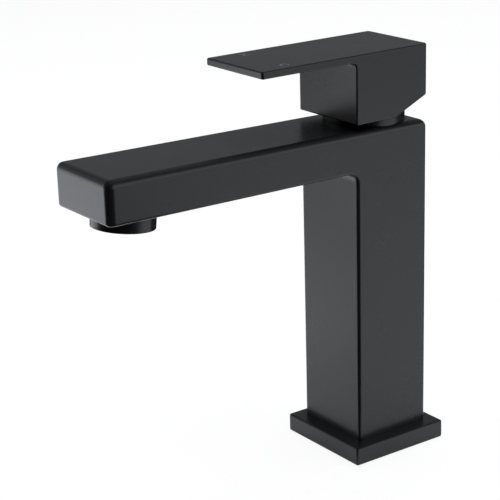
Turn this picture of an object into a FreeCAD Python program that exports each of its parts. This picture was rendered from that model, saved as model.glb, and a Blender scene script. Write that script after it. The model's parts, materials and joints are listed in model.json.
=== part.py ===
"""Single-lever basin mixer: square column, straight spout that rises slightly, flat lever, round collar.

Millimetres, +Z up. The origin is the middle of the foot, on the surface that the mixer stands on.
The spout and the lever point towards -Y, where the user stands; +X is the user's right.
The first section holds the driving dimensions, and then each piece has its own function.
"""
import FreeCAD
import Part
import math
import os

V = FreeCAD.Vector

# ---------------------------------------------------------------- outside shape
BODY_SIDE = 40.0            # square column; its side faces run on as the sides of the spout
SPOUT_TIP_WIDTH = 42.4      # they spread slightly towards the tip
SPOUT_REACH = 146.6         # column axis to the spout's front face
TOP_BACK_Z = 154.7          # one flat top face rises from the back of the column ...
TOP_TIP_Z = 156.8           # ... to the tip of the spout
UNDERSIDE_ROOT_Z = 136.6    # the underside of the spout rises a little less
UNDERSIDE_TIP_Z = 137.8
COLLAR_SEAT_Z = 154.0       # level seat of the collar, sunk in the top face
TOP_EDGE_R = 3.2
LOWER_EDGE_R = 1.5          # column edges, and the edges under the spout
SPOUT_TIP_R = 3.2           # upright edges of the front face
SPOUT_ROOT_R = 5.0          # inside corner under the spout

BASE_SIDE = 51.9
BASE_HEIGHT = 8.7
BASE_EDGE_R = 1.1
SPIGOT_R = 17.0             # round foot of the casting, inside the base plate
PART_GAP = 0.1              # play between parts that are fitted by hand

# ---------------------------------------------------------------- lever
PIVOT_Z = 157.0             # lift axis of the lever
LIFT_ANGLE = 25.0           # closed to fully open, degrees
HANDLE_SIDE = 40.7
HANDLE_BACK = 20.0
HANDLE_TOP = 189.0
HANDLE_BOTTOM = 158.2
LEVER_REACH = 70.2
LEVER_THICKNESS = 3.3
HANDLE_EDGE_R = 0.7
LEVER_TIP_R = 1.0           # upright edges at the lever's tip
HEAD_BACK_R = 1.8           # upright edges at the back of the head
LEVER_ROOT_R = 2.5
HEEL_START_Y = 1.6          # the sloping heel starts here on the underside ...
HEEL_TOP_Z = 166.3          # ... and ends here on the back face
COLLAR_R = 18.4             # the collar is part of a sphere about the pivot
COLLAR_INNER_R = 16.5
COLLAR_TOP = 166.0
RECESS_R = COLLAR_R + 0.45  # hollow in the handle that swings over the collar
BOSS_R = 7.0
BOSS_BOTTOM = 168.0
STEM_TOP = 182.5
SCREW_Z = 179.2             # set screw that clamps the handle to the stem
SCREW_R = 2.5
SCREW_LENGTH = 10.0
PLUG_R = 3.2
PLUG_LENGTH = 4.6
MARK_X = 14.4               # hot and cold marks, either side of the middle
MARK_Y = -54.4
MARK_HEIGHT = 4.0
MARK_STROKE = 0.55
MARK_DEPTH = 0.15

# ---------------------------------------------------------------- 25 mm cartridge
CHAMBER_FLOOR = 130.4       # floor of the cartridge seat in the column
CHAMBER_R = 12.65
NUT_R = 15.0                # thread of the cartridge nut
NUT_SEAT_Z = 143.0
HOUSING_R = 12.5
HOUSING_NECK_R = 12.0
FLANGE_R = 13.9
FLANGE_TOP = 145.5
NECK_TOP = 158.5
NECK_BORE_R = 9.5
DISC_ROOM_R = 10.8
NUT_SPIGOT_R = 14.5
NUT_SPIGOT_TOP = 159.4
BASE_DISC_TOP = 137.2
FIXED_DISC_Z = 138.0
MOVING_DISC_Z = 141.05
CARRIER_Z = 144.1
CARRIER_TOP = 147.6
CARRIER_BLOCK_TOP = 149.3
DISC_GAP = 0.05
TURRET_R = 9.42
TURRET_SKIRT_R = 10.5
TURRET_BOTTOM = 147.9
TURRET_SHOULDER = 149.3
TURRET_TOP = 160.0
STEM_SIDE = 7.5
FINGER_DROP = 9.0           # pivot to the middle of the stem's round finger end
FINGER_R = 2.5
PIN_R = 1.5

# ---------------------------------------------------------------- waterways
PORT_X = 7.0                # hot at -X and cold at +X
PORT_Y = -2.6
PORT_R = 3.0
DISC_PORT_X = 4.6           # the inlets step inwards between the column and the discs
DISC_PORT_Y = -2.0
DISC_PORT_R = 1.9
INLET_THREAD_R = 5.0        # M10 x 1 flexible hose ends
INLET_THREAD_DEPTH = 14.0
INLET_CORE_R = 4.2
INLET_CORE_TOP = 120.0
STUD_Y = 8.5
STUD_R = 4.0                # M8 fixing stud
STUD_DEPTH = 16.0
OUTLET_Y = 3.5
OUTLET_R = 2.2
OUTLET_DUCT_Z = (124.4, 128.4)
RISER_Y = (-17.3, -14.3)
PASSAGE_X = 14.0
PASSAGE_Z = (140.0, 152.0)
PASSAGE_END_Y = -112.0

# ---------------------------------------------------------------- aerator, M24 x 1
AERATOR_TILT = 6.5          # the jet leans towards the user
AERATOR_RIM = V(0, -127.9, 130.2)
AERATOR_R = 13.7
AERATOR_THREAD_R = 12.0
RING_HEIGHT = 9.6           # visible ring, partly in its counterbore
THREAD_HEIGHT = 6.0
AERATOR_BORE_R = 10.4


# ---------------------------------------------------------------- helpers
def box(x, y, z):
    """Block between the two values of each pair."""
    size = [b - a for a, b in (x, y, z)]
    return Part.makeBox(*size, V(x[0], y[0], z[0]))


def cylinder(radius, z0, z1, x=0.0, y=0.0):
    return Part.makeCylinder(radius, z1 - z0, V(x, y, z0))


def tube(outer, inner, z0, z1, x=0.0, y=0.0):
    return cylinder(outer, z0, z1, x, y).cut(cylinder(inner, z0 - 1, z1 + 1, x, y))


def torus(radius, section, z):
    return Part.makeTorus(radius, section, V(0, 0, z))


def prism_x(points, half_width):
    """Solid with an outline of (y, z) points, running across the mixer."""
    corners = [V(-half_width, y, z) for y, z in points]
    face = Part.Face(Part.makePolygon(corners + corners[:1]))
    return face.extrude(V(2 * half_width, 0, 0))


def fillet(shape, radius, chosen):
    """Round the edges for which chosen(middle, direction) is true."""
    edges = []
    for edge in shape.Edges:
        first, last = edge.Vertexes[0].Point, edge.Vertexes[-1].Point
        run = last - first
        if run.Length < 1e-6:
            continue
        if chosen((first + last) * 0.5, run.normalize()):
            edges.append(edge)
    return shape.makeFillet(radius, edges)


def near(a, b, tolerance=0.05):
    return abs(a - b) < tolerance


def hexagon(across_flats, depth):
    """Hexagonal socket along +Z from the origin."""
    corner = across_flats / math.sqrt(3)
    turns = [math.radians(60 * i) for i in range(6)]
    points = [V(corner * math.cos(t), corner * math.sin(t), 0) for t in turns]
    face = Part.Face(Part.makePolygon(points + points[:1]))
    return face.extrude(V(0, 0, depth))


def placed(shape, position, tilt):
    """Copy of the shape, tilted about its X axis by so many degrees and then moved to the position."""
    move = FreeCAD.Placement(position, FreeCAD.Rotation(V(1, 0, 0), tilt))
    result = shape.copy()
    result.Placement = move.multiply(shape.Placement)
    return result


def towards_back(shape):
    """Lay a piece made along +Z down along +Y, at the height of the set screw."""
    return placed(shape, V(0, 0, SCREW_Z), -90)


def on_aerator_axis(shape):
    """Move a piece made along +Z from the rim onto the tilted axis of the aerator."""
    return placed(shape, AERATOR_RIM, -AERATOR_TILT)


# ---------------------------------------------------------------- fixed pieces
def top_z(y):
    """Height of the sloping top face."""
    half = BODY_SIDE / 2
    return TOP_BACK_Z + (TOP_TIP_Z - TOP_BACK_Z) * (half - y) / (half + SPOUT_REACH)


def body_outline():
    """Column and spout in one block, with every outside edge rounded."""
    half = BODY_SIDE / 2
    block = prism_x([
        (half, BASE_HEIGHT), (half, TOP_BACK_Z), (-SPOUT_REACH, TOP_TIP_Z),
        (-SPOUT_REACH, UNDERSIDE_TIP_Z), (-half, UNDERSIDE_ROOT_Z), (-half, BASE_HEIGHT),
    ], SPOUT_TIP_WIDTH)
    tip_half = SPOUT_TIP_WIDTH / 2
    plan = [V(-half, half), V(half, half), V(tip_half, -SPOUT_REACH), V(-tip_half, -SPOUT_REACH)]
    block = block.common(Part.Face(Part.makePolygon(plan + plan[:1])).extrude(V(0, 0, TOP_TIP_Z)))
    block = fillet(block, SPOUT_ROOT_R, lambda p, d: abs(d.x) > 0.9 and near(p.z, UNDERSIDE_ROOT_Z))
    block = fillet(block, SPOUT_TIP_R, lambda p, d: abs(d.z) > 0.9 and near(p.y, -SPOUT_REACH))
    block = fillet(block, LOWER_EDGE_R, lambda p, d: BASE_HEIGHT + 1 < p.z < UNDERSIDE_TIP_Z + 0.1 and (
        abs(d.x) < 0.9 or p.y < -SPOUT_REACH + 1))
    return fillet(block, TOP_EDGE_R, lambda p, d: near(p.z, top_z(p.y)))


def waterways():
    """Hot and cold inlets, the cartridge seat, and the way from it along the spout."""
    half = BODY_SIDE / 2
    ways = [
        cylinder(CHAMBER_R, CHAMBER_FLOOR, COLLAR_SEAT_Z),
        cylinder(NUT_R, NUT_SEAT_Z, COLLAR_SEAT_Z + 1),
        cylinder(COLLAR_R, COLLAR_SEAT_Z, TOP_TIP_Z),
        cylinder(STUD_R, -1, STUD_DEPTH, 0, STUD_Y),
    ]
    for side in (-1, 1):
        x = side * PORT_X
        ways.append(cylinder(INLET_THREAD_R, -1, INLET_THREAD_DEPTH, x, PORT_Y))
        ways.append(cylinder(INLET_CORE_R, 0, INLET_CORE_TOP, x, PORT_Y))
        ways.append(cylinder(PORT_R, 0, CHAMBER_FLOOR + 1, x, PORT_Y))
    riser_top = NUT_SEAT_Z - 1.2
    duct_half = OUTLET_R + 0.2
    ways.append(cylinder(duct_half, OUTLET_DUCT_Z[0], CHAMBER_FLOOR + 1, 0, OUTLET_Y))
    ways.append(box((-duct_half, duct_half), (RISER_Y[0], OUTLET_Y), OUTLET_DUCT_Z))
    ways.append(box((-6, 6), RISER_Y, (OUTLET_DUCT_Z[0], riser_top)))
    ways.append(box((-6, 6), (-half, RISER_Y[1]), (riser_top - 3.3, riser_top)))
    ways.append(box((-PASSAGE_X, PASSAGE_X), (PASSAGE_END_Y, -half + 1), PASSAGE_Z))
    ways.append(box((-8, 8), (AERATOR_RIM.y - 4, PASSAGE_END_Y + 1), (PASSAGE_Z[1] - 5, PASSAGE_Z[1])))
    return ways


def make_body_casting():
    spigot = cylinder(SPIGOT_R, 0, BASE_HEIGHT + 1)
    groove = tube(SPIGOT_R + 1, SPIGOT_R - 1.3, 4.0, 6.0)
    body = body_outline().fuse(spigot.cut(groove))
    counterbore = on_aerator_axis(cylinder(AERATOR_R + 0.2, 0, RING_HEIGHT + 0.1))
    thread = on_aerator_axis(cylinder(AERATOR_THREAD_R, 0, RING_HEIGHT + THREAD_HEIGHT + 3.6))
    return body.cut(waterways() + [counterbore, thread]).removeSplitter()


def make_base_plate():
    half = BASE_SIDE / 2
    plate = box((-half, half), (-half, half), (0, BASE_HEIGHT))
    plate = fillet(plate, BASE_EDGE_R, lambda p, d: True)
    return plate.cut([cylinder(SPIGOT_R + PART_GAP, -1, BASE_HEIGHT + 1), tube(23.0, 19.0, -1, 2.0)])


def make_base_gasket():
    return tube(23.0, 19.0, 0, 2.0)


def make_foot_o_ring():
    return torus(SPIGOT_R - 0.6, 0.6, 5.0)


def make_collar():
    """Spherical trim ring with a straight bore that grips the cartridge nut."""
    centre = V(0, 0, PIVOT_Z)
    shell = Part.makeSphere(COLLAR_R, centre).common(cylinder(COLLAR_R + 1, COLLAR_SEAT_Z, COLLAR_TOP))
    hollow = Part.makeSphere(COLLAR_INNER_R, centre)
    hollow = hollow.common(cylinder(COLLAR_R, NUT_SPIGOT_TOP, COLLAR_TOP + 1))
    return shell.cut([hollow, cylinder(NUT_SPIGOT_R + PART_GAP, COLLAR_SEAT_Z - 1, NUT_SPIGOT_TOP + 0.1)])


def make_cartridge_nut():
    """Threaded ring with a spigot for the collar and four spanner slots in its rim."""
    nut = cylinder(NUT_R, FLANGE_TOP, COLLAR_SEAT_Z)
    nut = nut.fuse(cylinder(NUT_SPIGOT_R, COLLAR_SEAT_Z, NUT_SPIGOT_TOP))
    cuts = [cylinder(HOUSING_NECK_R + PART_GAP, FLANGE_TOP - 1, NUT_SPIGOT_TOP + 1)]
    cuts.append(tube(NUT_SPIGOT_R + 1, NUT_SPIGOT_R - 0.9, 156.2, 157.8))
    cuts.append(box((-NUT_R, NUT_R), (-1.5, 1.5), (NUT_SPIGOT_TOP - 1.4, NUT_SPIGOT_TOP + 1)))
    cuts.append(box((-1.5, 1.5), (-NUT_R, NUT_R), (NUT_SPIGOT_TOP - 1.4, NUT_SPIGOT_TOP + 1)))
    return nut.cut(cuts)


def make_nut_o_ring():
    return torus(NUT_SPIGOT_R - 0.4, 0.49, PIVOT_Z)


def make_cartridge_housing():
    """Cup with the disc room below, a flange under the nut and a neck that guides the turret."""
    solid = cylinder(HOUSING_R, CHAMBER_FLOOR + 0.6, FLANGE_TOP)
    solid = solid.fuse(cylinder(FLANGE_R, NUT_SEAT_Z, FLANGE_TOP))
    solid = solid.fuse(cylinder(HOUSING_NECK_R, FLANGE_TOP, NECK_TOP))
    base_room = cylinder(HOUSING_R - 0.8, CHAMBER_FLOOR, BASE_DISC_TOP)
    disc_room = cylinder(DISC_ROOM_R, CHAMBER_FLOOR, TURRET_SHOULDER + 0.2)
    neck = cylinder(NECK_BORE_R, CHAMBER_FLOOR, NECK_TOP + 1)
    o_ring_groove = tube(HOUSING_R + 1, HOUSING_R - 0.8, 139.0, 140.6)
    return solid.cut([base_room, disc_room, neck, o_ring_groove])


def make_housing_o_ring():
    return torus(HOUSING_R - 0.3, 0.44, 139.8)


def make_temperature_stop():
    """Loose ring on the housing that limits how far the turret turns to hot."""
    ring = tube(HOUSING_NECK_R - 0.2, NECK_BORE_R + 0.3, NECK_TOP, NECK_TOP + 1.3)
    lugs = box((-1.5, 1.5), (NECK_BORE_R + 0.3, HOUSING_NECK_R + 1.3), (NECK_TOP, NECK_TOP + 1.3))
    return ring.fuse(lugs)


def inlet_holes(z0, z1, radius):
    return [cylinder(radius, z0, z1, side * PORT_X, PORT_Y) for side in (-1, 1)]


def disc_holes(z0, z1, radius=DISC_PORT_R):
    """The three ways through the discs and their seal: hot, cold and outlet."""
    holes = [cylinder(radius, z0, z1, side * DISC_PORT_X, DISC_PORT_Y) for side in (-1, 1)]
    return holes + [cylinder(OUTLET_R, z0, z1, 0, OUTLET_Y)]


def make_cartridge_base():
    """Bottom plug of the cartridge: each inlet steps inwards half way up, and the outlet is straight."""
    bottom = CHAMBER_FLOOR + 0.6
    plug = cylinder(HOUSING_R - 0.85, bottom, BASE_DISC_TOP)
    seats = inlet_holes(CHAMBER_FLOOR, CHAMBER_FLOOR + 1.4, 3.9)
    lower = inlet_holes(CHAMBER_FLOOR, bottom + 3.4, PORT_R - 0.4)
    upper = disc_holes(bottom + 2.4, BASE_DISC_TOP + 1)
    outlet = cylinder(OUTLET_R, CHAMBER_FLOOR, BASE_DISC_TOP, 0, OUTLET_Y)
    return plug.cut(seats + lower + upper + [outlet])


def make_port_seals():
    """Two separate rubber rings between the cartridge's inlets and the column."""
    top = CHAMBER_FLOOR + 1.4
    rings = [tube(3.8, PORT_R - 0.3, CHAMBER_FLOOR, top, side * PORT_X, PORT_Y) for side in (-1, 1)]
    return Part.makeCompound(rings)


def make_disc_seal():
    """Moulded seal that presses the fixed disc against the moving one."""
    seal = cylinder(10.4, BASE_DISC_TOP, FIXED_DISC_Z)
    return seal.cut(disc_holes(BASE_DISC_TOP - 1, FIXED_DISC_Z + 1))


def make_fixed_disc():
    top = MOVING_DISC_Z - DISC_GAP
    disc = cylinder(DISC_ROOM_R - 0.2, FIXED_DISC_Z, top)
    return disc.cut(disc_holes(FIXED_DISC_Z - 1, top + 1))


def make_moving_disc():
    """Upper disc, which lies back from the axis when closed. Its blind pocket is over the outlet alone then,
    and over both inlets too once it has slid forwards."""
    disc = cylinder(8.4, MOVING_DISC_Z, CARRIER_Z, 0, stem_stroke() / 2)
    pocket_z = (MOVING_DISC_Z - 1, MOVING_DISC_Z + 1.6)
    wide = box((-6.3, 6.3), (0.2, 4.6), pocket_z)
    narrow = box((-3.4, 3.4), (0.2, 8.4), pocket_z)
    return disc.cut([wide, narrow])


# ---------------------------------------------------------------- moving pieces
def stem_stroke():
    """Travel of the disc while the lever goes from closed to open."""
    return FINGER_DROP * math.sin(math.radians(LIFT_ANGLE))


def make_disc_carrier():
    """Slides under the turret: a round plate on the disc, with a guide block around the stem's finger."""
    plate = cylinder(8.6, CARRIER_Z, CARRIER_TOP, 0, stem_stroke() / 2)
    block = box((-4.5, 4.5), (-4.6, 4.6), (CARRIER_Z, CARRIER_BLOCK_TOP))
    pocket = box((-3.9, 3.9), (-FINGER_R - 0.15, FINGER_R + 0.15), (CARRIER_Z + 1.1, CARRIER_BLOCK_TOP + 1))
    return plate.fuse(block).cut(pocket)


def make_turret():
    """Rotating guide of the stem, held under the neck of the housing by its skirt."""
    turret = cylinder(TURRET_SKIRT_R, TURRET_BOTTOM, TURRET_SHOULDER)
    turret = turret.fuse(cylinder(TURRET_R, TURRET_BOTTOM, TURRET_TOP))
    slide_z = (TURRET_BOTTOM - 1, CARRIER_BLOCK_TOP + 0.4)
    slide = box((-4.65, 4.65), (-TURRET_SKIRT_R, TURRET_SKIRT_R), slide_z)
    swing = prism_x([
        (-7.0, TURRET_BOTTOM), (4.3, TURRET_BOTTOM), (4.3, PIVOT_Z - 1), (6.8, TURRET_TOP + 1),
        (-4.2, TURRET_TOP + 1), (-5.2, PIVOT_Z),
    ], STEM_SIDE / 2 + 0.15)
    pin_hole = Part.makeCylinder(PIN_R, 2 * TURRET_R + 2, V(-TURRET_R - 1, 0, PIVOT_Z), V(1, 0, 0))
    return turret.cut([slide, swing, pin_hole])


def make_stem_pin():
    length = 2 * 8.8
    return Part.makeCylinder(PIN_R, length, V(-length / 2, 0, PIVOT_Z), V(1, 0, 0))


def make_cartridge_stem():
    """Square rod through the turret, with a round-ended finger that drives the disc carrier."""
    half = STEM_SIDE / 2
    finger_z = PIVOT_Z - FINGER_DROP
    rod = box((-half, half), (-half, half), (PIVOT_Z - 3.0, STEM_TOP))
    rod = fillet(rod, 0.5, lambda p, d: near(p.z, STEM_TOP))
    shank = box((-half, half), (-1.6, 1.6), (finger_z, PIVOT_Z - 2.9))
    finger = Part.makeCylinder(FINGER_R, STEM_SIDE, V(-half, 0, finger_z), V(1, 0, 0))
    pin_hole = Part.makeCylinder(PIN_R + 0.05, STEM_SIDE + 2, V(-half - 1, 0, PIVOT_Z), V(1, 0, 0))
    return rod.fuse([shank, finger]).cut(pin_hole)


def letter_strokes():
    """Shallow hot and cold marks in the lever's top, read from the front: H at the left, C at the right."""
    z = (HANDLE_TOP - MARK_DEPTH, HANDLE_TOP + 1)
    half, line, arm = MARK_HEIGHT / 2, MARK_STROKE / 2, MARK_HEIGHT / 3
    marks = []
    for side in (-1, 1):
        upright = -MARK_X + side * arm
        marks.append(box((upright - line, upright + line), (MARK_Y - half, MARK_Y + half), z))
    marks.append(box((-MARK_X - arm, -MARK_X + arm), (MARK_Y - line, MARK_Y + line), z))
    ring = tube(half, half - MARK_STROKE, z[0], z[1], MARK_X, MARK_Y)
    mouth = box((MARK_X + half / 2, MARK_X + half + 1), (MARK_Y - half * 0.6, MARK_Y + half * 0.6), z)
    marks.append(ring.cut(mouth))
    return marks


def make_handle():
    """Head block with its lever plate, a sloping heel, and a spherical hollow over the collar."""
    half = HANDLE_SIDE / 2
    plate_z = HANDLE_TOP - LEVER_THICKNESS
    handle = prism_x([
        (HANDLE_BACK, HEEL_TOP_Z), (HANDLE_BACK, HANDLE_TOP), (-LEVER_REACH, HANDLE_TOP),
        (-LEVER_REACH, plate_z), (-half, plate_z), (-half, HANDLE_BOTTOM), (HEEL_START_Y, HANDLE_BOTTOM),
    ], half)
    handle = fillet(handle, LEVER_ROOT_R, lambda p, d: abs(d.x) > 0.9 and (
        near(p.y, -half) and near(p.z, plate_z)))
    handle = fillet(handle, LEVER_TIP_R, lambda p, d: abs(d.z) > 0.9 and near(p.y, -LEVER_REACH))
    handle = fillet(handle, HEAD_BACK_R, lambda p, d: abs(d.z) > 0.9 and near(p.y, HANDLE_BACK))
    inside_corner = plate_z - LEVER_ROOT_R
    handle = fillet(handle, HANDLE_EDGE_R, lambda p, d: abs(d.x) < 0.9 or not (
        near(p.z, inside_corner) or near(p.y, -half - LEVER_ROOT_R) or near(p.y, HEEL_START_Y)))
    boss = cylinder(BOSS_R, BOSS_BOTTOM, HANDLE_TOP)
    hollow = Part.makeSphere(RECESS_R, V(0, 0, PIVOT_Z)).cut(boss)
    socket_half = STEM_SIDE / 2 + PART_GAP / 2
    socket = box((-socket_half, socket_half), (-socket_half, socket_half), (BOSS_BOTTOM - 1, STEM_TOP + 0.3))
    screw_hole = towards_back(cylinder(SCREW_R, 0, HANDLE_BACK))
    plug_hole = towards_back(cylinder(PLUG_R, HANDLE_BACK - PLUG_LENGTH, HANDLE_BACK + 1))
    return handle.cut([hollow, socket, screw_hole, plug_hole] + letter_strokes())


def make_set_screw():
    """Headless screw with a hexagon socket, tightened from behind."""
    start = STEM_SIDE / 2
    screw = cylinder(SCREW_R, start, start + SCREW_LENGTH)
    socket = hexagon(2.5, 3.0).translated(V(0, 0, start + SCREW_LENGTH - 2.5))
    return towards_back(screw.cut(socket))


def make_set_screw_plug():
    plug = cylinder(PLUG_R, HANDLE_BACK - PLUG_LENGTH, HANDLE_BACK)
    return towards_back(plug)


# ---------------------------------------------------------------- aerator pieces
def make_aerator_housing():
    """Black ring with the outside thread above it."""
    ring = cylinder(AERATOR_R, 0, RING_HEIGHT)
    ring = ring.fuse(cylinder(AERATOR_THREAD_R, RING_HEIGHT, RING_HEIGHT + THREAD_HEIGHT))
    bore = cylinder(AERATOR_BORE_R, 1.2, RING_HEIGHT + THREAD_HEIGHT + 1)
    mouth = cylinder(AERATOR_BORE_R - 0.9, -1, 2)
    return on_aerator_axis(ring.cut([bore, mouth]))


def make_aerator_washer():
    top = RING_HEIGHT + THREAD_HEIGHT
    return on_aerator_axis(tube(AERATOR_THREAD_R - 0.2, 9.0, top, top + 1.6))


def make_aerator_grille():
    """Outlet grille: a ring with crossing bars."""
    radius = AERATOR_BORE_R
    grille = tube(radius, radius - 1.4, 1.2, 3.4)
    bars = []
    for step in range(-4, 5):
        offset = 2.1 * step
        bars.append(box((offset - 0.3, offset + 0.3), (-radius, radius), (1.2, 2.8)))
        bars.append(box((-radius, radius), (offset - 0.3, offset + 0.3), (1.2, 2.8)))
    inside = cylinder(radius - 1.0, 1.2, 2.8)
    lattice = bars[0].fuse(bars[1:]).common(inside)
    return on_aerator_axis(grille.fuse(lattice).removeSplitter())


def make_aerator_insert():
    """Jet body above the grille: a cup with a ring of small holes in its floor."""
    cup = cylinder(AERATOR_BORE_R - 0.05, 3.4, RING_HEIGHT + THREAD_HEIGHT)
    cup = cup.cut(cylinder(8.6, 9.0, RING_HEIGHT + THREAD_HEIGHT + 1))
    cup = cup.cut(cylinder(8.6, 3.0, 6.5))
    holes = []
    for i in range(12):
        turn = math.radians(30 * i)
        holes.append(cylinder(0.8, 6, 10, 6.6 * math.cos(turn), 6.6 * math.sin(turn)))
    return on_aerator_axis(cup.cut(holes))


def make_aerator_filter():
    """Domed dirt filter that lies in the mouth of the insert."""
    base = RING_HEIGHT + THREAD_HEIGHT - 2.0
    outer = Part.makeCone(8.5, 5.0, 3.0, V(0, 0, base))
    inner = Part.makeCone(7.9, 4.4, 2.5, V(0, 0, base))
    return on_aerator_axis(outer.cut(inner))


MAKERS = {
    "body_casting": make_body_casting,
    "base_plate": make_base_plate,
    "base_gasket": make_base_gasket,
    "foot_o_ring": make_foot_o_ring,
    "collar": make_collar,
    "cartridge_nut": make_cartridge_nut,
    "nut_o_ring": make_nut_o_ring,
    "cartridge_housing": make_cartridge_housing,
    "housing_o_ring": make_housing_o_ring,
    "temperature_stop": make_temperature_stop,
    "cartridge_base": make_cartridge_base,
    "port_seals": make_port_seals,
    "disc_seal": make_disc_seal,
    "fixed_disc": make_fixed_disc,
    "moving_disc": make_moving_disc,
    "disc_carrier": make_disc_carrier,
    "turret": make_turret,
    "stem_pin": make_stem_pin,
    "cartridge_stem": make_cartridge_stem,
    "handle": make_handle,
    "set_screw": make_set_screw,
    "set_screw_plug": make_set_screw_plug,
    "aerator_housing": make_aerator_housing,
    "aerator_washer": make_aerator_washer,
    "aerator_grille": make_aerator_grille,
    "aerator_insert": make_aerator_insert,
    "aerator_filter": make_aerator_filter,
}


def main():
    os.makedirs("parts", exist_ok=True)
    for name, make in MAKERS.items():
        shape = make()
        print(f"{name:20s} solids {len(shape.Solids)} valid {shape.isValid()} volume {shape.Volume:10.1f}")
        shape.exportStep(f"parts/{name}.step")


main()
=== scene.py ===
"""Looks of a single-lever basin mixer: satin black coating, marks, aerator, threads, studio and camera."""
import bpy
import bmesh
import json
import math
from mathutils import Matrix, Vector


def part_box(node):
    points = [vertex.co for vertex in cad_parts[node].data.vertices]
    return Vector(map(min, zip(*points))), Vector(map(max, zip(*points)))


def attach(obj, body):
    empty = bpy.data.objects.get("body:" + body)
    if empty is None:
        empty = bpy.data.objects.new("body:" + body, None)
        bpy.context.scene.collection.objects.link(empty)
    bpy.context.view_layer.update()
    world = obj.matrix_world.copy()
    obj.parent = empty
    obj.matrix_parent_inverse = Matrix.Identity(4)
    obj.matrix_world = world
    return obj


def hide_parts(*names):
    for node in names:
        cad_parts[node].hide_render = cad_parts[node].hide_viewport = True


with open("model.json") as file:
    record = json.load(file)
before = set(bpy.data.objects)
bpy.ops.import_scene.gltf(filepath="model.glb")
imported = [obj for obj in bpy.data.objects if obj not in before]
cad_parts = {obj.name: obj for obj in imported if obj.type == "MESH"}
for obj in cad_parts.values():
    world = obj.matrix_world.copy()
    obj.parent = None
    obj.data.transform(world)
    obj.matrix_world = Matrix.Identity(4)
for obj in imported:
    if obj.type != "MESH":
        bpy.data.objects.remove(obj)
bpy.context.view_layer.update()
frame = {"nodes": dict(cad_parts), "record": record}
NODES = frame["nodes"]

# ---------------------------------------------------------------- view
VIEW_AZIMUTH = 54.72        # degrees; 0 looks along +Y and 90 along -X
VIEW_ELEVATION = 18.28
VIEW_ROLL = -1.63
VIEW_DISTANCE = 0.7433
VIEW_LENS = 116.2           # millimetres
VIEW_SENSOR = 36.0
AIM_ALONG_VIEW_RIGHT = -0.0526
AIM_HEIGHT = 0.0939

# ---------------------------------------------------------------- studio
FLOOR_SIZE = 4.0
FLOOR_DROP = 0.0001         # keeps the floor clear of the underside
BACKDROP_WHITE = 1.0
FLOOR_SEEN_GLOW = 0.89      # the floor as the camera sees it: nearly shadowless
FLOOR_SEEN_MATT = 0.10
# The floor as the coating mirrors it is a painted reflection: a pale strip that widens both ways along its
# axis, with painted shade beside it.
# Along its axis the strip's painted light is palest at the left front, darker at the right back and darkest
# far out left.
PAINTED_FLOOR_LEFT_FRONT = 0.94
PAINTED_FLOOR_FAR_LEFT = 0.62
PAINTED_FLOOR_RIGHT_BACK = 0.77
FLOOR_PAINTED_SHADE = 0.03
LEFT_FADE = (-0.60, -0.25)  # metres along the axis, where the far left turns to the left front
FOOT_FADE = (-0.05, 0.05)   # and where that turns to the right back
STRIP_AXIS = (0.816, 0.577, 0.0)
STRIP_ACROSS = (0.577, -0.816, 0.0)
STRIP_SPREAD = 0.42         # how much wider on each side per metre along the axis
STRIP_HALF_WIDTH = 0.034    # at the mixer
STRIP_SOFT_EDGE = 0.014
ROOM_GREY = 0.01            # what the dim room gives
SOFTBOX_POWER = 50.0
SOFTBOX_HEIGHT = 1.6
SOFTBOX_SIDE = 2.0
FRONT_CARD_POWER = 0.047    # small card that the front faces of spout and lever mirror
FRONT_CARD_PLACE = (-0.136, -0.220, 0.117)
FRONT_CARD_AIM = (0, -0.140, 0.147)
FRONT_CARD_SIDE = 0.11
LIGHT_TINT = (0.93, 0.95, 1.0)

# ---------------------------------------------------------------- looks; noise scales are per metre
COAT_DARK = (0.0055, 0.0057, 0.0062, 1)
COAT_LIGHT = (0.0085, 0.0088, 0.0096, 1)
COAT_ROUGHNESS = (0.26, 0.31)
COAT_CLOUDS = 70.0
COAT_PATCHES = 260.0
COAT_PEEL = 500.0
PEEL_DEPTH = 0.00002
DRIFT_SCALE = 150.0
LATHE_SCALE = 3500.0
LATHE_DEPTH = 0.00002
LATHE_ROUGHNESS_SPREAD = 0.07
TARNISH_SCALE = 220.0

# ---------------------------------------------------------------- pieces on the frame, in metres
MARK_FROM_TIP = 0.0158      # hot and cold marks, from the lever's tip and from its middle
MARK_X = 0.0144
MARK_HEIGHT = 0.0040
MARK_STROKE = 0.00055
MARK_DEPTH = 0.00015
MARK_MOUTH = 0.6            # half the opening of the C, of its radius
PAINT_RECESS = 0.00003      # the paint lies just under the surface
PAINT_BOTTOM = 0.9          # of the engraving's depth
AERATOR_TILT = 6.5
GRILLE_RIM = 0.0013
GRILLE_HALF_HEIGHT = 0.0011
LATTICE_TOP = 0.0004        # above the middle of the rim's height
LATTICE_INSET = 0.0010      # from the grille's edge to the middles of the outermost cells, at least
RING_STEPS = 96
CELL_PITCH = 0.00165
CELL_WALL = 0.00030
THREAD_PITCH = {"hot_inlet": 0.0010, "cold_inlet": 0.0010, "stud_hole": 0.00125}
THREAD_DEPTH = 0.6          # of the pitch
THREAD_FLANK = 0.46         # half of a ridge's width at its root, of the pitch
THREAD_SINK = 0.00003       # the ridge's root lies just inside the wall


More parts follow.
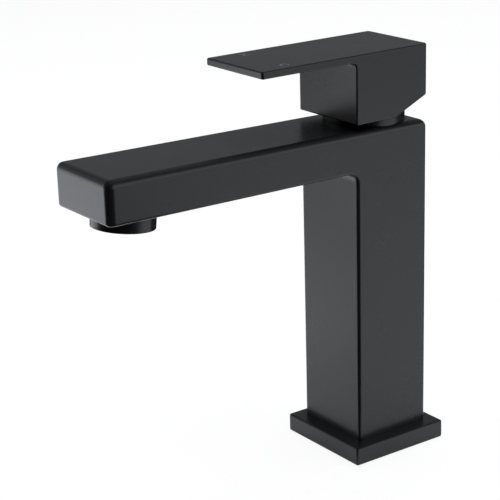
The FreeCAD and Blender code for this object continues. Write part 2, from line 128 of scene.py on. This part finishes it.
# ---------------------------------------------------------------- node helpers
class Nodes:
    """Short way to add shader nodes and join them."""

    def __init__(self, tree):
        self.tree = tree
        tree.nodes.clear()

    def add(self, kind, inputs=None, **settings):
        node = self.tree.nodes.new(kind)
        for key, value in settings.items():
            setattr(node, key, value)
        for key, value in (inputs or {}).items():
            if isinstance(value, bpy.types.NodeSocket):
                self.tree.links.new(value, node.inputs[key])
            else:
                node.inputs[key].default_value = value
        return node

    def math(self, operation, a, b=0.0):
        return self.add("ShaderNodeMath", {0: a, 1: b}, operation=operation).outputs[0]

    def noise(self, vector, scale, detail=2.0, roughness=0.5):
        return self.add("ShaderNodeTexNoise", {
            "Vector": vector, "Scale": scale, "Detail": detail, "Roughness": roughness,
        }).outputs["Fac"]

    def dot(self, a, b):
        return self.add("ShaderNodeVectorMath", {0: a, 1: b}, operation="DOT_PRODUCT").outputs["Value"]

    def ramp(self, value, low, high, from_min=0.0, from_max=1.0, shape="LINEAR"):
        return self.add("ShaderNodeMapRange", {
            "Value": value, "From Min": from_min, "From Max": from_max, "To Min": low, "To Max": high,
        }, interpolation_type=shape).outputs["Result"]

    def mix(self, factor, a, b):
        """Mix of two colours; sockets 6, 7 and 2 are the node's colour sockets."""
        node = self.add("ShaderNodeMix", data_type="RGBA")
        for socket, value in ((0, factor), (6, a), (7, b)):
            if isinstance(value, bpy.types.NodeSocket):
                self.tree.links.new(value, node.inputs[socket])
            else:
                node.inputs[socket].default_value = value
        return node.outputs[2]


def new_material(name):
    material = bpy.data.materials.new(name)
    material.use_nodes = True
    return material, Nodes(material.node_tree)


def finish_material(nodes, shader):
    nodes.add("ShaderNodeOutputMaterial", {"Surface": shader.outputs[0]})


# ---------------------------------------------------------------- materials
def coating(name):
    """Satin black lacquer: a faint orange peel, and faint clouds in its colour and gloss."""
    material, n = new_material(name)
    place = n.add("ShaderNodeTexCoord").outputs["Object"]
    clouds = n.noise(place, COAT_CLOUDS, 4.0, 0.6)
    patches = n.noise(place, COAT_PATCHES, 2.0, 0.5)
    peel = n.noise(place, COAT_PEEL, 1.0, 0.4)
    uneven = n.math("ADD", n.math("MULTIPLY", patches, 0.3), clouds)
    bump = n.add("ShaderNodeBump", {"Height": peel, "Strength": 0.06, "Distance": PEEL_DEPTH})
    shader = n.add("ShaderNodeBsdfPrincipled", {
        "Base Color": n.mix(clouds, COAT_DARK, COAT_LIGHT),
        "Roughness": n.ramp(uneven, *COAT_ROUGHNESS, 0.3, 1.0),
        "Normal": bump.outputs[0], "IOR": 1.5,
    })
    finish_material(n, shader)
    return material


def moulded(name, dark, light, roughness, grain_scale=900.0, bump_mm=0.02, spread=0.06):
    """Plastic, rubber or ceramic with a fine grain in its height and a slow drift in its colour and gloss."""
    material, n = new_material(name)
    place = n.add("ShaderNodeTexCoord").outputs["Object"]
    drift = n.noise(place, DRIFT_SCALE, 3.0, 0.6)
    grain = n.noise(place, grain_scale, 3.0, 0.6)
    bump = n.add("ShaderNodeBump", {"Height": grain, "Strength": 0.3, "Distance": bump_mm * 0.001})
    shader = n.add("ShaderNodeBsdfPrincipled", {
        "Base Color": n.mix(drift, dark, light),
        "Roughness": n.ramp(drift, roughness - spread, roughness + spread),
        "Normal": bump.outputs[0],
    })
    finish_material(n, shader)
    return material


def turned(name, dark, light, roughness):
    """Bare metal from the lathe: fine rings round the upright axis, with a little tarnish."""
    material, n = new_material(name)
    place = n.add("ShaderNodeTexCoord").outputs["Object"]
    split = n.add("ShaderNodeSeparateXYZ", {0: place})
    flat = n.add("ShaderNodeCombineXYZ", {0: split.outputs[0], 1: split.outputs[1]})
    radius = n.add("ShaderNodeVectorMath", {0: flat.outputs[0]}, operation="LENGTH").outputs["Value"]
    rings = n.add("ShaderNodeCombineXYZ", {0: radius, 2: split.outputs[2]})
    lines = n.noise(rings.outputs[0], LATHE_SCALE, 3.0, 0.7)
    tarnish = n.noise(place, TARNISH_SCALE, 4.0, 0.6)
    bump = n.add("ShaderNodeBump", {"Height": lines, "Strength": 0.35, "Distance": LATHE_DEPTH})
    shader = n.add("ShaderNodeBsdfPrincipled", {
        "Base Color": n.mix(tarnish, dark, light),
        "Roughness": n.ramp(lines, roughness - LATHE_ROUGHNESS_SPREAD, roughness + LATHE_ROUGHNESS_SPREAD),
        "Normal": bump.outputs[0], "Metallic": 1.0,
    })
    finish_material(n, shader)
    return material


def slot_materials():
    return {
        "coated_brass": coating("satin_black"),
        "coated_zinc": coating("satin_black_lever"),
        "black_plastic": moulded("black_plastic", (0.008, 0.008, 0.008, 1), (0.013, 0.013, 0.013, 1), 0.42),
        "raw_brass": turned("raw_brass", (0.60, 0.40, 0.16, 1), (0.76, 0.55, 0.26, 1), 0.28),
        "steel": turned("steel", (0.42, 0.42, 0.43, 1), (0.60, 0.60, 0.60, 1), 0.26),
        "seal_rubber": moulded("seal_rubber", (0.010, 0.010, 0.010, 1), (0.022, 0.022, 0.021, 1), 0.62),
        "white_plastic": moulded("white_plastic", (0.66, 0.66, 0.63, 1), (0.78, 0.78, 0.75, 1), 0.40),
        "grey_plastic": moulded("grey_plastic", (0.14, 0.15, 0.16, 1), (0.20, 0.21, 0.22, 1), 0.45),
        "red_plastic": moulded("red_plastic", (0.38, 0.02, 0.015, 1), (0.52, 0.03, 0.02, 1), 0.30),
        "ceramic": moulded(
            "ceramic", (0.70, 0.68, 0.63, 1), (0.80, 0.78, 0.74, 1), 0.12,
            grain_scale=2500.0, bump_mm=0.004, spread=0.03),
    }


def assign_materials(materials):
    slots = {part["node"]: part["material_slot"] for part in frame["record"]["subparts"]}
    for name, piece in NODES.items():
        for slot in piece.material_slots:
            slot.material = materials[slots[name]]


# ---------------------------------------------------------------- pieces on the frame
def new_piece(name, mesh, material, body):
    """Object from a finished bmesh, in the row frame, that moves with a CAD body."""
    bmesh.ops.recalc_face_normals(mesh, faces=mesh.faces)
    data = bpy.data.meshes.new(name)
    mesh.to_mesh(data)
    mesh.free()
    data.materials.append(material)
    piece = bpy.data.objects.new(name, data)
    bpy.context.scene.collection.objects.link(piece)
    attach(piece, body)
    return piece


def add_block(mesh, low, high):
    size = Vector(high) - Vector(low)
    middle = (Vector(high) + Vector(low)) / 2
    shape = Matrix.Translation(middle) @ Matrix.Diagonal((*size, 1.0))
    bmesh.ops.create_cube(mesh, size=1.0, matrix=shape)


def add_prism_ring(mesh, outer, inner, closed=True):
    """Strip with a rectangular section between two matching loops of (bottom, top) corner pairs."""
    count = len(outer)
    loops = []
    for corners in (outer, inner):
        loops.append([[mesh.verts.new(point) for point in pair] for pair in corners])
    outside, inside = loops
    for i in range(count if closed else count - 1):
        j = (i + 1) % count
        mesh.faces.new((outside[i][0], outside[j][0], outside[j][1], outside[i][1]))
        mesh.faces.new((inside[i][0], inside[i][1], inside[j][1], inside[j][0]))
        mesh.faces.new((outside[i][1], outside[j][1], inside[j][1], inside[i][1]))
        mesh.faces.new((outside[i][0], inside[i][0], inside[j][0], outside[j][0]))
    if not closed:
        for i in (0, count - 1):
            mesh.faces.new((outside[i][0], outside[i][1], inside[i][1], inside[i][0]))


def circle_pairs(radius, z, steps, centre=(0.0, 0.0), start=0.0, sweep=360.0):
    """Points of a circle or arc at both heights of z."""
    pairs = []
    for i in range(steps):
        turn = math.radians(start + sweep * i / (steps if sweep == 360.0 else steps - 1))
        x = centre[0] + radius * math.cos(turn)
        y = centre[1] + radius * math.sin(turn)
        pairs.append(((x, y, z[0]), (x, y, z[1])))
    return pairs


def make_lever_marks():
    """Grey paint in the engraved H and C near the lever's tip."""
    low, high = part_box("handle")
    z = (high[2] - MARK_DEPTH * PAINT_BOTTOM, high[2] - PAINT_RECESS)
    y = low[1] + MARK_FROM_TIP
    half = MARK_HEIGHT / 2
    line = MARK_STROKE / 2
    arm = MARK_HEIGHT / 3
    mesh = bmesh.new()
    for side in (-1, 1):
        x = -MARK_X + side * arm
        add_block(mesh, (x - line, y - half, z[0]), (x + line, y + half, z[1]))
    add_block(mesh, (-MARK_X - arm, y - line, z[0]), (-MARK_X + arm, y + line, z[1]))
    mouth = math.degrees(math.asin(MARK_MOUTH))
    arc = {"steps": 40, "centre": (MARK_X, y), "start": mouth, "sweep": 360 - 2 * mouth}
    outer = circle_pairs(half, z, **arc)
    inner = circle_pairs(half - MARK_STROKE, z, **arc)
    add_prism_ring(mesh, outer, inner, closed=False)
    paint = moulded("mark_paint", (0.100, 0.100, 0.104, 1), (0.140, 0.140, 0.145, 1), 0.5)
    new_piece("lever_marks", mesh, paint, "lever")


def make_honeycomb(material):
    """Outlet grille of the aerator: a thin hexagonal lattice in a ring."""
    low, high = (Vector(corner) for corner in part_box("aerator_grille"))
    centre = (low + high) / 2
    radius = (high.x - low.x) / 2
    z = (-GRILLE_HALF_HEIGHT, GRILLE_HALF_HEIGHT)
    lattice_z = (z[0], LATTICE_TOP)
    mesh = bmesh.new()
    outer = circle_pairs(radius, z, RING_STEPS)
    inner = circle_pairs(radius - GRILLE_RIM, z, RING_STEPS)
    add_prism_ring(mesh, outer, inner)
    cell = CELL_PITCH / math.sqrt(3)
    rows = int(radius / CELL_PITCH) + 1
    for row in range(-rows, rows + 1):
        for column in range(-rows - 1, rows + 2):
            x = CELL_PITCH * (column + 0.5 * (row % 2))
            y = CELL_PITCH * row * math.sqrt(3) / 2
            if math.hypot(x, y) > radius - LATTICE_INSET:
                continue
            corner = {"z": lattice_z, "steps": 6, "centre": (x, y), "start": 30.0}
            add_prism_ring(mesh, circle_pairs(cell, **corner), circle_pairs(cell - CELL_WALL, **corner))
    turn = Matrix.Rotation(math.radians(-AERATOR_TILT), 4, "X")
    bmesh.ops.transform(mesh, matrix=Matrix.Translation(centre) @ turn, verts=mesh.verts)
    piece = new_piece("aerator_honeycomb", mesh, material, "body")
    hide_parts("aerator_grille")


def add_thread(mesh, place, radius, length, pitch):
    """Triangular thread ridge that stands inwards from the wall of a hole, which opens at the foot."""
    steps = 40
    crest = radius - THREAD_DEPTH * pitch
    root = radius + THREAD_SINK
    turns = (length - pitch) / pitch
    ridge = ((root, -THREAD_FLANK), (crest, 0.0), (root, THREAD_FLANK))
    rings = []
    for i in range(int(turns * steps) + 1):
        turn = 2 * math.pi * i / steps
        z = pitch / 2 + pitch * i / steps
        ring = []
        for reach, rise in ridge:
            x = place[0] + reach * math.cos(turn)
            y = place[1] + reach * math.sin(turn)
            ring.append(mesh.verts.new((x, y, z + rise * pitch)))
        rings.append(ring)
    for first, second in zip(rings, rings[1:]):
        for i in range(3):
            j = (i + 1) % 3
            mesh.faces.new((first[i], second[i], second[j], first[j]))
    for end in (rings[0], rings[-1]):
        mesh.faces.new(end)


def make_threads(material):
    """Threads in the two inlets and in the hole for the fixing stud, where the record's mounts are."""
    mounts = {mount["name"]: mount for mount in frame["record"]["mounts"]}
    mesh = bmesh.new()
    for name, pitch in THREAD_PITCH.items():
        hole = mounts[name]["dims"]
        add_thread(mesh, mounts[name]["pos_m"], hole["r_mm"] / 1000, hole["length_mm"] / 1000, pitch)
    new_piece("foot_threads", mesh, material, "body")


# ---------------------------------------------------------------- studio
def make_floor():
    """White floor: the camera sees it nearly without shadow, and the coating mirrors a painted reflection on
    it, a pale strip with painted shade beside it.

    From below it is clear, so that the underside shows."""
    floor = bpy.data.meshes.new("floor")
    half = FLOOR_SIZE / 2
    corners = [(x, y, -FLOOR_DROP) for x, y in ((-half, -half), (half, -half), (half, half), (-half, half))]
    floor.from_pydata(corners, [], [(0, 1, 2, 3)])
    piece = bpy.data.objects.new("floor", floor)
    bpy.context.scene.collection.objects.link(piece)
    material, n = new_material("white_floor_painted_reflection")
    links = material.node_tree.links
    place = n.add("ShaderNodeTexCoord").outputs["Object"]
    along = n.dot(place, STRIP_AXIS)
    across = n.dot(place, STRIP_ACROSS)
    widening = n.math("MULTIPLY", n.math("ABSOLUTE", along), STRIP_SPREAD)
    beside = n.math("SUBTRACT", n.math("ABSOLUTE", across), widening)
    dark_from = STRIP_HALF_WIDTH + STRIP_SOFT_EDGE
    # painted shade beside the strip and painted light along it; the camera does not see this, the coating
    # mirrors it
    pale = n.ramp(beside, FLOOR_PAINTED_SHADE, 1.0, dark_from, STRIP_HALF_WIDTH, "SMOOTHSTEP")
    left = n.ramp(along, PAINTED_FLOOR_FAR_LEFT, PAINTED_FLOOR_LEFT_FRONT, *LEFT_FADE)
    white = n.ramp(along, left, PAINTED_FLOOR_RIGHT_BACK, *FOOT_FADE)
    painted_reflection = n.add("ShaderNodeBsdfDiffuse", {"Color": n.math("MULTIPLY", pale, white)})
    glow = n.add("ShaderNodeEmission", {"Color": (1, 1, 1, 1), "Strength": FLOOR_SEEN_GLOW})
    matt = n.add("ShaderNodeBsdfDiffuse", {"Color": (FLOOR_SEEN_MATT, FLOOR_SEEN_MATT, FLOOR_SEEN_MATT, 1)})
    seen = n.add("ShaderNodeAddShader")
    camera_ray = n.add("ShaderNodeLightPath").outputs["Is Camera Ray"]
    above = n.add("ShaderNodeMixShader", {0: camera_ray})
    clear = n.add("ShaderNodeBsdfTransparent")
    one_sided = n.add("ShaderNodeMixShader", {0: n.add("ShaderNodeNewGeometry").outputs["Backfacing"]})
    for source, target in ((glow, seen.inputs[0]), (matt, seen.inputs[1]),
                           (painted_reflection, above.inputs[1]), (seen, above.inputs[2]),
                           (above, one_sided.inputs[1]), (clear, one_sided.inputs[2])):
        links.new(source.outputs[0], target)
    finish_material(n, one_sided)
    floor.materials.append(material)
    piece.visible_shadow = False


def panel_glow(n, direction, towards, strength, core, edge):
    """Brightness of one soft panel of the room, by the angle between a ray and the panel's middle."""
    closeness = n.dot(direction, Vector(towards).normalized())
    edge_cosine = math.cos(math.radians(edge))
    core_cosine = math.cos(math.radians(core))
    return n.ramp(closeness, 0.0, strength, edge_cosine, core_cosine, "SMOOTHSTEP")


PANELS = [
    # direction from the mixer, brightness, degrees to the soft border's start and end
    ((0.775, 0.548, -0.10), 1.20, 18, 48),
    ((-0.775, -0.548, -0.10), 0.46, 18, 48),
    ((-0.735, 0.583, 0.345), 0.21, 30, 70),
    ((0.314, 0.548, 0.775), 0.10, 10, 45),
]


def make_world():
    """White to the camera; the coating mirrors a dim room with soft panels."""
    world = bpy.data.worlds.new("studio")
    bpy.context.scene.world = world
    world.use_nodes = True
    n = Nodes(world.node_tree)
    direction = n.add("ShaderNodeTexCoord").outputs["Generated"]
    glow = ROOM_GREY
    for towards, strength, core, edge in PANELS:
        glow = n.math("ADD", panel_glow(n, direction, towards, strength, core, edge), glow)
    room = n.add("ShaderNodeBackground", {"Color": (*LIGHT_TINT, 1), "Strength": glow})
    white = n.add("ShaderNodeBackground", {"Color": (1, 1, 1, 1), "Strength": BACKDROP_WHITE})
    seen = n.add("ShaderNodeLightPath").outputs["Is Camera Ray"]
    both = n.add("ShaderNodeMixShader", {0: seen})
    world.node_tree.links.new(room.outputs[0], both.inputs[1])
    world.node_tree.links.new(white.outputs[0], both.inputs[2])
    n.add("ShaderNodeOutputWorld", {"Surface": both.outputs[0]})


def area_light(name, place, aim, side, power, glossy=True):
    """Square light; glossy says whether the coating mirrors it."""
    light = bpy.data.lights.new(name, "AREA")
    light.shape = "SQUARE"
    light.size = side
    light.energy = power
    light.color = LIGHT_TINT
    lamp = bpy.data.objects.new(name, light)
    bpy.context.scene.collection.objects.link(lamp)
    lamp.location = place
    lamp.rotation_euler = (Vector(aim) - Vector(place)).to_track_quat("-Z", "Y").to_euler()
    lamp.visible_camera = False
    lamp.visible_glossy = glossy


def make_lights():
    area_light("top_softbox", (0, 0, SOFTBOX_HEIGHT), (0, 0, 0), SOFTBOX_SIDE, SOFTBOX_POWER, glossy=False)
    area_light("front_card", FRONT_CARD_PLACE, FRONT_CARD_AIM, FRONT_CARD_SIDE, FRONT_CARD_POWER)


def make_camera():
    """Camera at the view's angle, turned by the roll about its own line of sight."""
    azimuth, elevation, roll = (math.radians(v) for v in (VIEW_AZIMUTH, VIEW_ELEVATION, VIEW_ROLL))
    back = Vector((math.sin(azimuth) * math.cos(elevation), -math.cos(azimuth) * math.cos(elevation),
                   math.sin(elevation)))
    right = (-back).cross(Vector((0, 0, 1))).normalized()
    up = right.cross(-back)
    aim = right * AIM_ALONG_VIEW_RIGHT + Vector((0, 0, AIM_HEIGHT))
    turned_right = right * math.cos(roll) + up * math.sin(roll)
    turned_up = up * math.cos(roll) - right * math.sin(roll)
    lens = bpy.data.cameras.new("camera")
    lens.lens = VIEW_LENS
    lens.sensor_width = VIEW_SENSOR
    camera = bpy.data.objects.new("camera", lens)
    bpy.context.scene.collection.objects.link(camera)
    turn = Matrix((turned_right, turned_up, back)).transposed().to_4x4()
    camera.matrix_world = Matrix.Translation(aim + back * VIEW_DISTANCE) @ turn
    bpy.context.scene.camera = camera


SLOTS = slot_materials()
assign_materials(SLOTS)
make_lever_marks()
make_honeycomb(SLOTS["white_plastic"])
make_threads(SLOTS["raw_brass"])
make_floor()
make_world()
make_lights()
make_camera()
bpy.context.scene.view_settings.view_transform = "Standard"
